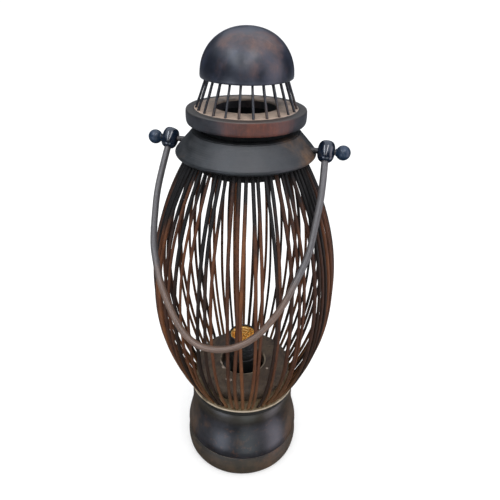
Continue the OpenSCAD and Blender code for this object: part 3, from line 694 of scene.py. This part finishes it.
prof = fillet([(44, 354.3, 0.6), (44, 371.95, 0.2), (40.4, 371.95, 0.2), (40.4, 354.3, 0.6)], 4)
v, f = spin(dense(prof, 1.8))
build("throat_turned", v, f, M_sleeve, "lamp", ["throat_sleeve"])

# ---------------------------------------------------------------- cage of bent reeds
MIDZ, CR, FR, HR, RIMT, HZ = 225.0, 92.0, 55.8, 51.5, 98.8, 367.0
h1, h2, s1, s2 = MIDZ - RIMT, HZ - MIDZ, CR - FR, CR - HR
arc1, arc2 = (h1 * h1 + s1 * s1) / (2 * s1), (h2 * h2 + s2 * s2) / (2 * s2)


def reed_az(i):
    return (i + 0.5) * 360 / 64 + 0.55 * math.sin(math.radians(i * 137.5)) + 0.3 * math.sin(math.radians(i * 71))


def reed_r(z):
    z = np.asarray(z, float)
    lo = CR - arc1 + np.sqrt(np.maximum(0, arc1 ** 2 - (MIDZ - z) ** 2))
    hi = CR - arc2 + np.sqrt(np.maximum(0, arc2 ** 2 - (z - MIDZ) ** 2))
    return np.where(z < MIDZ, lo, hi)


NR = 72
SIDES = 12
for q, node in enumerate(("cage_back", "cage_left", "cage_front", "cage_right")):
    parts, tone, height, black = [], [], [], []
    for i in range(q * 16, q * 16 + 16):
        e = rng.normal(0, 1, 10)
        z = np.linspace(93.0, 371.0, NR)
        s = (z - 93.0) / 278.0
        bow = np.sin(math.pi * s)
        # leans and crossings: the ends stay in their sockets, the middle wanders
        az = 45 + reed_az(i) + np.clip(bow * (1.15 * e[0] + 0.75 * e[1] * np.cos(math.pi * s)) + bow * 0.35 * e[2] * np.sin(3 * math.pi * s + e[3]), -3.4, 3.4)
        dr = bow * (-0.30 + 0.45 * e[4] + 0.30 * e[5] * np.sin(2 * math.pi * s + e[6])) + 0.30 * np.exp(-((s - 0.12) / 0.12) ** 2)
        r = reed_r(z) + np.minimum(dr, 0.45)
        a = np.radians(az)
        R = 1.56 + 0.08 * e[7] + 0.05 * np.sin(9 * s + e[8]) + 0.04 * np.sin(23 * s + e[9])
        R = R - 0.10 * np.exp(-(s / 0.02) ** 2) - 0.10 * np.exp(-((1 - s) / 0.02) ** 2)
        R = R + 0.10 * np.exp(-((s - (0.25 + 0.5 * rng.random())) / 0.006) ** 2)
        R = np.clip(R, 1.2, 1.72)
        th = np.arange(SIDES) / SIDES * 2 * math.pi
        R = R[:, None] * (1 + 0.09 * np.cos(2 * th + e[3])[None, :] + 0.03 * np.cos(3 * th + e[5])[None, :])
        p = sweep(np.stack([r * np.cos(a), r * np.sin(a), z], 1), R, SIDES)
        parts.append(p)
        tone += [float(np.clip(0.5 + 0.26 * rng.normal(), 0, 1))] * len(p[0])
        black += [rng.random()] * len(p[0])
        height += list((np.array([w[2] for w in p[0]]) - 93.0) / 278.0)
    v, f = merge(parts)
    build(node + "_reeds", v, f, M_reed, "lamp", [node], floats={"tone": tone, "height": height, "black": black}, sharp=80)

# ---------------------------------------------------------------- pivots
PZ = 375.0
REST = math.asin((CR + 1.35 + 3.1 + 11.2) / 186.7)
down = Vector((0, -math.sin(REST), -math.cos(REST)))
bailm = Matrix.Translation((0, 0, PZ)) @ Matrix.Rotation(-REST, 4, "X")
for side, tag, tilt in ((-1, "left", 7.9), (1, "right", 0.5)):
    # pin
    prof = fillet([(0, 47), (2.5, 47, 0.3), (2.5, 85.0, 0.5), (0, 85.0)], 4, False)
    v, f = spin(dense(prof, 1.5, False), 32, closed=False)
    rot = Matrix.Translation((0, 0, PZ)) @ Matrix.Rotation(math.radians(90 * side), 4, "Y")
    v, f = moved((v, f), rot)
    build(f"pin_{tag}_stained", v, f, M_pin, "lamp", [f"pivot_pin_{tag}"])
    # barrel bead, bored for the cane below
    prof = [(0, -7.2), (3.2, -7.2)] + catmull([(3.3, -9.05), (3.9, -9.28), (5.3, -8.55), (6.75, -6.6), (7.6, -3.5), (7.82, 0), (7.6, 3.5), (6.75, 6.6), (5.3, 8.5), (3.4, 9.2), (1.6, 9.28)], 6) + [(0, 9.3)]
    part = spin(dense(prof, 1.0, False), 96, closed=False)
    part = moved(part, bailm @ Matrix.Translation((side * 73.35, 0, 0)) @ Matrix.Rotation(math.radians(tilt), 4, "Y"))
    build(f"bead_{tag}_gloss", part[0], part[1], M_bead, "bail", [f"bead_{tag}"], sharp=60)
    # ball knob with a short collar towards the bead
    prof = [(0, -6.5), (3.1, -6.5), (3.35, -6.25), (3.3, -5.75)]
    prof += [(6.6 * math.sin(t), -6.6 * math.cos(t)) for t in np.linspace(math.radians(31), math.radians(176), 36)] + [(0, 6.6)]
    part = spin(dense(prof, 1.2, False), 72, closed=False)
    part = moved(part, Matrix.Translation((0, 0, PZ)) @ Matrix.Rotation(math.radians(90 * side), 4, "Y") @ Matrix.Translation((0, 0, 88.25)))
    build(f"knob_{tag}_gloss", part[0], part[1], M_knob, "lamp", [f"end_ball_{tag}"], sharp=60)

# bail: a bent cane, a little uneven, with faint growth nodes
cane = [(73.35, 5.4), (73.35, 10.4), (74.0, 25.9), (74.2, 44.0), (73.1, 62.0), (71.8, 80.0), (70.7, 91.6), (67.3, 104.6), (61.7, 121.0), (55.6, 137.6), (47.9, 152.6), (36.8, 168.2),
        (22.3, 180.0), (4.9, 186.4), (-13.4, 186.1), (-29.9, 177.2), (-45.1, 159.2), (-59.0, 136.4), (-68.2, 113.9), (-72.9, 97.0), (-76.0, 70.4), (-77.1, 51.2), (-76.3, 31.9), (-74.5, 10.4), (-73.9, 5.4)]
path = np.array([(s, 0.0, -w) for s, w in catmull(cane, 7)])
seg = np.linalg.norm(np.diff(path, axis=0), axis=1)
al = np.concatenate([[0], np.cumsum(seg)])
keep = np.linspace(0, al[-1], 300)
path = np.stack([np.interp(keep, al, path[:, k]) for k in range(3)], 1)
for _ in range(3):
    path[1:-1] = (path[:-2] + 2 * path[1:-1] + path[2:]) / 4
t = keep / keep[-1]
path[:, 1] += 0.25 * np.sin(7 * t) * np.sin(math.pi * t)
sides = 24
th = np.arange(sides) / sides * 2 * math.pi
R = 3.1 + 0.06 * np.sin(11 * t + 1) + 0.04 * np.sin(29 * t)
for at in (0.17, 0.36, 0.58, 0.81):
    R = R + 0.14 * np.exp(-((t - at) / 0.0035) ** 2) - 0.07 * np.exp(-((t - at - 0.008) / 0.004) ** 2)
R = R[:, None] * (1 + 0.016 * np.cos(2 * th + 0.5)[None, :] + 0.008 * np.cos(5 * th)[None, :] + 0.006 * np.sin(9 * th + 1.0)[None, :])
v, f = sweep(path, R, sides)
around = np.concatenate([np.tile(np.arange(sides) / sides, len(path)), [0, 0]])
along = np.concatenate([np.repeat(t, sides), [0, 1]])
v, f = moved((v, f), bailm)
build("bail_cane", v, f, M_cane, "bail", ["bail"], floats={"around": around, "along": along}, sharp=80)

# ---------------------------------------------------------------- base
side = catmull([(57.0, 88.95), (57.2, 89.5), (57.9, 91.4), (59.0, 94.6), (59.9, 97), (60.15, 98.0)], 6)
prof = fillet([(48, 84), (48, 88.95)] + side + [(59.95, 98.7, 0.3), (59.3, 98.8), (57.0, 98.8), (50, 98.8), (44.65, 98.8, 0.3), (44.65, 84, 0.3)], 4)
v, f = spin(dense(prof, 1.5), wob=lambda a, z, r: 0.07 * np.sin(3 * a + 2))
build("rim_turned", v, f, M_rim, "lamp", ["base_rim"], sharp=55)

side = catmull([(63.5, 27.6), (64.1, 28.2), (64.6, 29.6), (64.9, 33), (64.5, 39), (62.8, 47), (60.3, 57), (59.0, 65), (58.4, 73), (58.3, 80), (57.8, 85.5), (57.0, 88.85)], 9)
prof = fillet([(52, 19.1), (56.95, 19.1), (56.95, 27.6)] + side + [(48.05, 88.85), (48.05, 83.9), (44, 80, 2), (50, 62, 6)], 5)
v, f = spin(dense(prof, 1.6), wob=lambda a, z, r: (0.12 * np.sin(2 * a + 2.2) + 0.05 * np.sin(5 * a + z * 0.05)) * (r > 57.2))
body = build("body_turned", v, f, M_base, "lamp", ["base_body"], sharp=55)
# bore for the cord inlet through the back wall
cut = []
for rad, y0, y1 in ((4.5, 45, 80), (7.3, 61.2, 80)):
    p = spin([(0, y0), (rad, y0), (rad, y1), (0, y1)], 64, closed=False)
    cut.append(moved(p, Matrix.Translation((0, 0, 42)) @ Matrix.Rotation(math.radians(-90), 4, "X")))
for k, p in enumerate(cut):
    me = bpy.data.meshes.new(f"cutter_{k}")
    me.from_pydata((np.asarray(p[0]) * MM).tolist(), [], p[1])
    bm = bmesh.new(); bm.from_mesh(me); bmesh.ops.recalc_face_normals(bm, faces=bm.faces[:]); bm.to_mesh(me); bm.free()
    cutter = bpy.data.objects.new(f"cutter_{k}", me)
    bpy.context.scene.collection.objects.link(cutter)
    mod = body.modifiers.new(f"bore_{k}", "BOOLEAN")
    mod.operation, mod.object, mod.solver = "DIFFERENCE", cutter, "EXACT"
    bpy.context.view_layer.update()
    dg = bpy.context.evaluated_depsgraph_get()
    new = bpy.data.meshes.new_from_object(body.evaluated_get(dg))
    body.modifiers.clear()
    old = body.data
    body.data = new
    bpy.data.objects.remove(cutter)
    bpy.data.meshes.remove(me)
    bpy.data.meshes.remove(old)
body.data.name = "body_turned"
body.data.polygons.foreach_set("use_smooth", [True] * len(body.data.polygons))
body.data.set_sharp_from_angle(angle=math.radians(40))

side = catmull([(61.4, 0), (62.8, 1.2), (64.0, 3.6), (64.8, 6.5), (65.7, 13.5), (65.4, 20), (64.7, 24.8), (64.1, 26.9), (63.5, 27.5)], 7)
prof = fillet([(58.3, 0, 0.6)] + side + [(57, 27.5), (57, 19), (52, 19), (52, 8, 0.3), (58.3, 8)], 5)
v, f = spin(dense(prof, 1.6), wob=lambda a, z, r: (0.10 * np.sin(2 * a + 0.2) + 0.05 * np.sin(7 * a)) * (r > 60))
build("foot_turned", v, f, M_foot, "lamp", ["foot_ring"], sharp=55)

side = catmull([(47.5, 121.2), (49.6, 120.9), (52, 119.3), (53.2, 116.6), (52.8, 113.2), (50.8, 108.6), (47.6, 103.4), (44.7, 99.0)], 8)
prof = fillet([(24.2, 107), (24.2, 119.2, 0.3), (25.0, 120.6, 0.8), (26.6, 121.2, 0.8), (36, 121.15)] + side + [(44.6, 98.8), (44.6, 86, 0.4), (38.5, 86, 0.4), (38.5, 107)], 5)
v, f = spin(dense(prof, 1.6), wob=lambda a, z, r: 0.08 * np.sin(3 * a + z))
build("platform_turned", v, f, M_plat, "lamp", ["platform"], sharp=55)

# ---------------------------------------------------------------- lampholder
STEP, MOUTH = 141.6, 158.6
prof = fillet([(5.2, 107), (13.4, 107, 0.4), (14.6, 108.2, 0.4), (14.6, 122.6, 0.2), (15.4, 123.4, 0.3), (15.4, 129, 0.25), (14.9, 129.6), (14.9, 131.4), (15.4, 132, 0.25),
               (15.4, 136.2, 0.2), (15.15, 136.5), (15.15, 137.1), (15.4, 137.4, 0.2), (15.4, STEP - 0.1, 0.35), (14.0, STEP - 0.1), (14.0, 129.7), (9, 129.7), (9, 124), (5.2, 120)], 4)
v, f = spin(dense(prof, 1.2), 128)
hb = build("holder_base_moulded", v, f, M_holder, "lamp", ["holder_base"], sharp=40)
prof = fillet([(13.95, STEP + 0.05), (15.4, STEP + 0.05, 0.35), (15.4, 143.4, 0.3), (15.1, 144.2, 0.3), (15.1, 154.8, 0.3), (15.6, 155.6, 0.3), (15.6, MOUTH - 0.3, 0.6), (15.1, MOUTH, 0.4),
               (14.2, MOUTH, 0.4), (13.95, 156)], 5)
v, f = spin(dense(prof, 1.0), 128)
build("holder_skirt_moulded", v, f, M_holder, "lamp", ["holder_skirt"], sharp=40)

# threaded brass shell: one rolled helical thread, seen inside the mouth
z0, z1, pitch = 133.65, MOUTH - 1.4, 3.63
n_a, n_z = 128, 130
zz = np.linspace(z0 + 1.0, z1, n_z)
verts, faces = [], []
ang = np.arange(n_a) / n_a * 2 * math.pi
for z in zz:
    ph = (z - z0) / pitch - ang / (2 * math.pi)
    w = 0.5 - 0.5 * np.cos(2 * math.pi * ph)
    fade = np.clip((z1 - 0.9 - z) / 1.2, 0, 1) * np.clip((z - z0 - 1.6) / 1.5, 0, 1)
    rr = 13.3 - 0.7 * w ** 1.4 * fade
    verts += list(zip(rr * np.cos(ang), rr * np.sin(ang), np.full(n_a, z)))
rows = n_z
for r_, z_ in ((13.5, z1 + 0.05), (13.8, z1 - 0.1), (13.8, z0 + 0.3), (13.6, z0), (10.5, z0), (10.5, z0 + 0.7), (12.6, z0 + 0.75)):
    verts += list(zip(r_ * np.cos(ang), r_ * np.sin(ang), np.full(n_a, z_)))
    rows += 1
for i in range(rows):
    j = (i + 1) % rows
    for k in range(n_a):
        l = (k + 1) % n_a
        faces.append((i * n_a + k, i * n_a + l, j * n_a + l, j * n_a + k))
build("shell_threaded", verts, faces, M_shell, "lamp", ["screw_shell"], sharp=50)

# terminal screws: domed heads with a slot
parts = []
for a in (-108.6, 71.4):
    prof = [(0, 9.7), (1.25, 9.7), (1.25, 12.6), (2.5, 12.6), (2.6, 12.8), (2.6, 14.0)] + [(2.6 * math.cos(q), 14.0 + 0.9 * math.sin(q)) for q in np.linspace(0.2, math.pi / 2 - 0.05, 6)] + [(0, 14.9)]
    p = spin(prof, 48, closed=False)
    vv = np.array(p[0])
    slot_ = (np.abs(vv[:, 0]) < 0.42) & (vv[:, 2] > 14.0)
    vv[slot_, 2] -= 0.6
    parts.append(moved((vv, p[1]), Matrix.Rotation(math.radians(a), 4, "Z") @ Matrix.Translation((0, 0, 127)) @ Matrix.Rotation(math.radians(90), 4, "Y")))
v, f = merge(parts)
build("terminals_brass", v, f, M_screwb, "lamp", ["terminal_screws"], sharp=35)

# ---------------------------------------------------------------- finishes for the CAD nodes that stay
for node, mat in (("shell_insulator", M_ceramic), ("centre_contact", M_shell), ("holder_strap", M_strap), ("strap_screws", M_strap), ("nipple", M_nipple),
                  ("lock_nut", M_steel), ("washer", M_steel), ("lead_live", M_lead_b), ("lead_neutral", M_lead_l), ("terminal_block", M_block), ("block_screws", M_steel),
                  ("cord_bushing", M_blackp), ("bottom_cover", M_board), ("cover_screws", M_steel)):
    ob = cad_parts[node]
    for s_ in ob.material_slots:
        s_.material = mat

# ---------------------------------------------------------------- stage, light and camera
sc = bpy.context.scene
sc.view_settings.view_transform = "Standard"
sc.view_settings.look = "None"

me = bpy.data.meshes.new("floor")
me.from_pydata([(-30, -30, 0), (30, -30, 0), (30, 30, 0), (-30, 30, 0)], [], [(0, 1, 2, 3)])
floor = bpy.data.objects.new("floor", me)
sc.collection.objects.link(floor)
fm = Mat("floor_white", rough=0.9, spec=0.1)
fm.done((0.80, 0.80, 0.80))
fm.p.inputs["Emission Color"].default_value = (1, 1, 1, 1)
fm.p.inputs["Emission Strength"].default_value = 0.24
me.materials.append(fm.m)

floor.visible_glossy = False

# world: an even white room for the eye and for diffuse light; in reflections a dark room with a bright
# ceiling, a bright panel on the right and bright patches on the floor
world = bpy.data.worlds.new("studio")
sc.world = world
world.use_nodes = True
wt = world.node_tree
wt.nodes.clear()


def wn(kind, **kw):
    n = wt.nodes.new(kind)
    for k, v in kw.items():
        setattr(n, k, v)
    return n


def wmath(op, a, b):
    n = wn("ShaderNodeMath", operation=op)
    for k, v in enumerate((a, b)):
        if isinstance(v, bpy.types.NodeSocket):
            wt.links.new(v, n.inputs[k])
        else:
            n.inputs[k].default_value = v
    return n.outputs[0]


def wfit(v, a, b):
    n = wn("ShaderNodeMapRange", interpolation_type="SMOOTHSTEP")
    wt.links.new(v, n.inputs["Value"])
    n.inputs["From Min"].default_value = a
    n.inputs["From Max"].default_value = b
    return n.outputs["Result"]


wdir = wn("ShaderNodeTexCoord").outputs["Generated"]
wsep = wn("ShaderNodeSeparateXYZ")
wt.links.new(wdir, wsep.inputs[0])
up_ = wsep.outputs[2]


def lobe(az, el, inner, outer):
    a, e = math.radians(az), math.radians(el)
    n = wn("ShaderNodeVectorMath", operation="DOT_PRODUCT")
    wt.links.new(wdir, n.inputs[0])
    n.inputs[1].default_value = (math.sin(a) * math.cos(e), -math.cos(a) * math.cos(e), math.sin(e))
    return wfit(n.outputs["Value"], math.cos(math.radians(outer)), math.cos(math.radians(inner)))


parts_ = [((0.05, 0.055, 0.065), None, 1.0),
          ((0.90, 0.96, 1.08), wfit(up_, 0.42, 0.78), 1.7),
          ((0.92, 0.96, 1.05), wmath("MULTIPLY", wfit(up_, -0.66, -0.40), wfit(up_, -0.08, -0.20)), 0.40),
          ((1.00, 0.94, 1.05), lobe(84, 15, 8, 32), 2.5),
          ((0.84, 0.92, 1.12), lobe(-25, -17, 3, 20), 3.6),
          ((0.86, 0.98, 1.05), lobe(25, -24, 3, 22), 1.7),
          ((0.98, 0.93, 1.10), lobe(79, -27, 4, 22), 2.4)]
total = None
for colour, gain, power in parts_:
    n = wn("ShaderNodeVectorMath", operation="SCALE")
    n.inputs[0].default_value = colour
    if gain is None:
        n.inputs["Scale"].default_value = power
    else:
        wt.links.new(wmath("MULTIPLY", gain, power), n.inputs["Scale"])
    if total is None:
        total = n.outputs[0]
    else:
        a_ = wn("ShaderNodeVectorMath", operation="ADD")
        wt.links.new(total, a_.inputs[0])
        wt.links.new(n.outputs[0], a_.inputs[1])
        total = a_.outputs[0]
wo = wn("ShaderNodeOutputWorld")
white = wn("ShaderNodeBackground")
white.inputs["Color"].default_value = (0.98, 0.99, 1.0, 1)
white.inputs["Strength"].default_value = 1.06
room = wn("ShaderNodeBackground")
wt.links.new(total, room.inputs["Color"])
pick = wn("ShaderNodeMixShader")
wt.links.new(wn("ShaderNodeLightPath").outputs["Is Glossy Ray"], pick.inputs[0])
wt.links.new(white.outputs[0], pick.inputs[1])
wt.links.new(room.outputs[0], pick.inputs[2])
wt.links.new(pick.outputs[0], wo.inputs[0])


def softbox(name, az, el, dist, size, power, colour=(1, 1, 1), aim=(0, 0, 0.3)):
    L = bpy.data.lights.new(name, "AREA")
    L.shape = "RECTANGLE"
    L.size, L.size_y = size
    L.energy = power
    L.color = colour
    o = bpy.data.objects.new(name, L)
    a, e = math.radians(az), math.radians(el)
    at = Vector(aim)
    o.location = at + dist * Vector((math.sin(a) * math.cos(e), -math.cos(a) * math.cos(e), math.sin(e)))
    o.rotation_mode = "QUATERNION"
    o.rotation_quaternion = (at - o.location).to_track_quat("-Z", "Y")
    sc.collection.objects.link(o)
    return o


def strip(name, x, y0, y1, z, wide, power, colour):
    """A long light overhead, running front to back, that shows only as a reflection."""
    L = bpy.data.lights.new(name, "AREA")
    L.shape = "RECTANGLE"
    L.size, L.size_y = wide, y1 - y0
    L.energy = power
    L.color = colour
    o = bpy.data.objects.new(name, L)
    o.location = (x, (y0 + y1) / 2, z)
    sc.collection.objects.link(o)
    o.visible_diffuse = o.visible_camera = False
    return o


strip("strip_left", -0.59, -3.6, -0.40, 1.65, 0.24, 27, (0.93, 0.97, 1.05))
strip("strip_right", 0.50, -3.6, -0.36, 1.65, 0.24, 27, (1.0, 0.97, 0.98))
softbox("soft_top", 20, 60, 2.2, (1.6, 1.6), 22, (1.0, 0.99, 0.98), (0, 0, 0.25)).visible_glossy = False

cam = bpy.data.cameras.new("camera")
cam.lens, cam.sensor_width, cam.sensor_fit = 36.0, 36.0, "AUTO"
cam.clip_start, cam.clip_end = 0.01, 100.0
co = bpy.data.objects.new("camera", cam)
sc.collection.objects.link(co)
sc.camera = co
pitch_, roll_, yaw_, turn_ = 0.5049, 0.0204, 0.0128, math.radians(13.6)
R0 = Vector((math.cos(yaw_), -math.sin(yaw_), 0))
F0 = Vector((math.sin(yaw_), math.cos(yaw_), 0))
Zv = Vector((0, 0, 1))
F = F0 * math.cos(pitch_) - Zv * math.sin(pitch_)
U = F0 * math.sin(pitch_) + Zv * math.cos(pitch_)
Rr = R0 * math.cos(roll_) + U * math.sin(roll_)
Uu = -R0 * math.sin(roll_) + U * math.cos(roll_)
e_ = Vector((math.cos(turn_), -math.sin(turn_), 0))
g_ = Vector((math.sin(turn_), math.cos(turn_), 0))
conv = lambda w: Vector((w.dot(e_), w.dot(g_), w.z))
Rr, Uu, F = conv(Rr), conv(Uu), conv(F)
mat4 = Matrix(((Rr.x, Uu.x, -F.x, 0.10515), (Rr.y, Uu.y, -F.y, -0.43462), (Rr.z, Uu.z, -F.z, 0.51180), (0, 0, 0, 1)))
co.matrix_world = mat4
